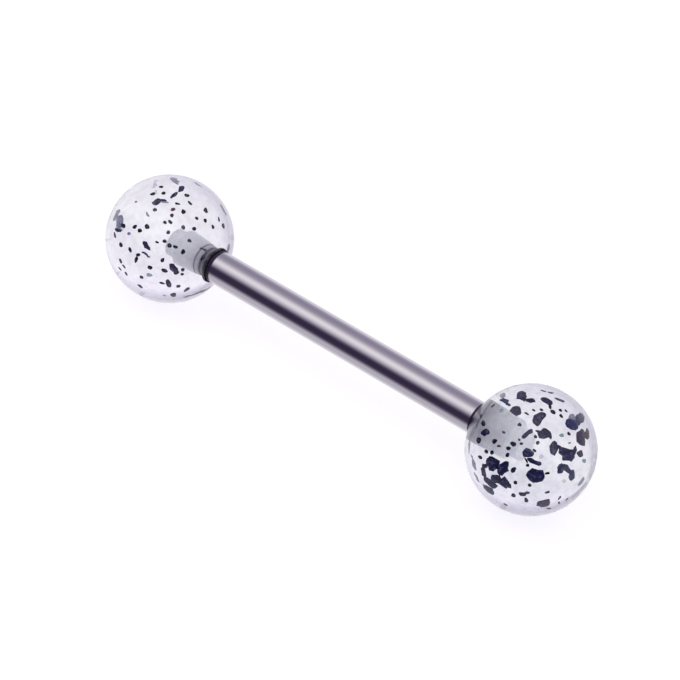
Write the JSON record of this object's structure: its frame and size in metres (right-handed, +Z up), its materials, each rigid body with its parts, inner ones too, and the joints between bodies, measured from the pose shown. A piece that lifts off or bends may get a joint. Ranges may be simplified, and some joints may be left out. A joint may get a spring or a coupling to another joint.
{
  "type": "tongue barbell",
  "caption": "Straight tongue barbell: a polished steel bar with a threaded post at each end and two clear acrylic balls, filled with black glitter, that screw onto the posts.",
  "frame": {"origin": "on the surface that the balls rest on, below the middle of the bar", "axes": "+X along the bar from the ball with fine glitter to the ball with coarse glitter, +Z up from the surface"},
  "size_m": [0.0278, 0.006, 0.006],
  "materials": {
    "steel": "polished surgical steel",
    "acrylic_fine_glitter": "clear acrylic with fine black glitter",
    "acrylic_coarse_glitter": "clear acrylic with coarse black glitter"
  },
  "bodies": {
    "bar": {"bar": "steel"},
    "left_ball": {"left_ball": "acrylic_fine_glitter"},
    "right_ball": {"right_ball": "acrylic_coarse_glitter"}
  },
  "joints": [
    {"name": "left_ball_off", "type": "slide", "parent": "bar", "child": "left_ball", "axis": [-1, 0, 0], "range_m": [0, 0.004]},
    {"name": "right_ball_off", "type": "slide", "parent": "bar", "child": "right_ball", "axis": [1, 0, 0], "range_m": [0, 0.004]}
  ]
}
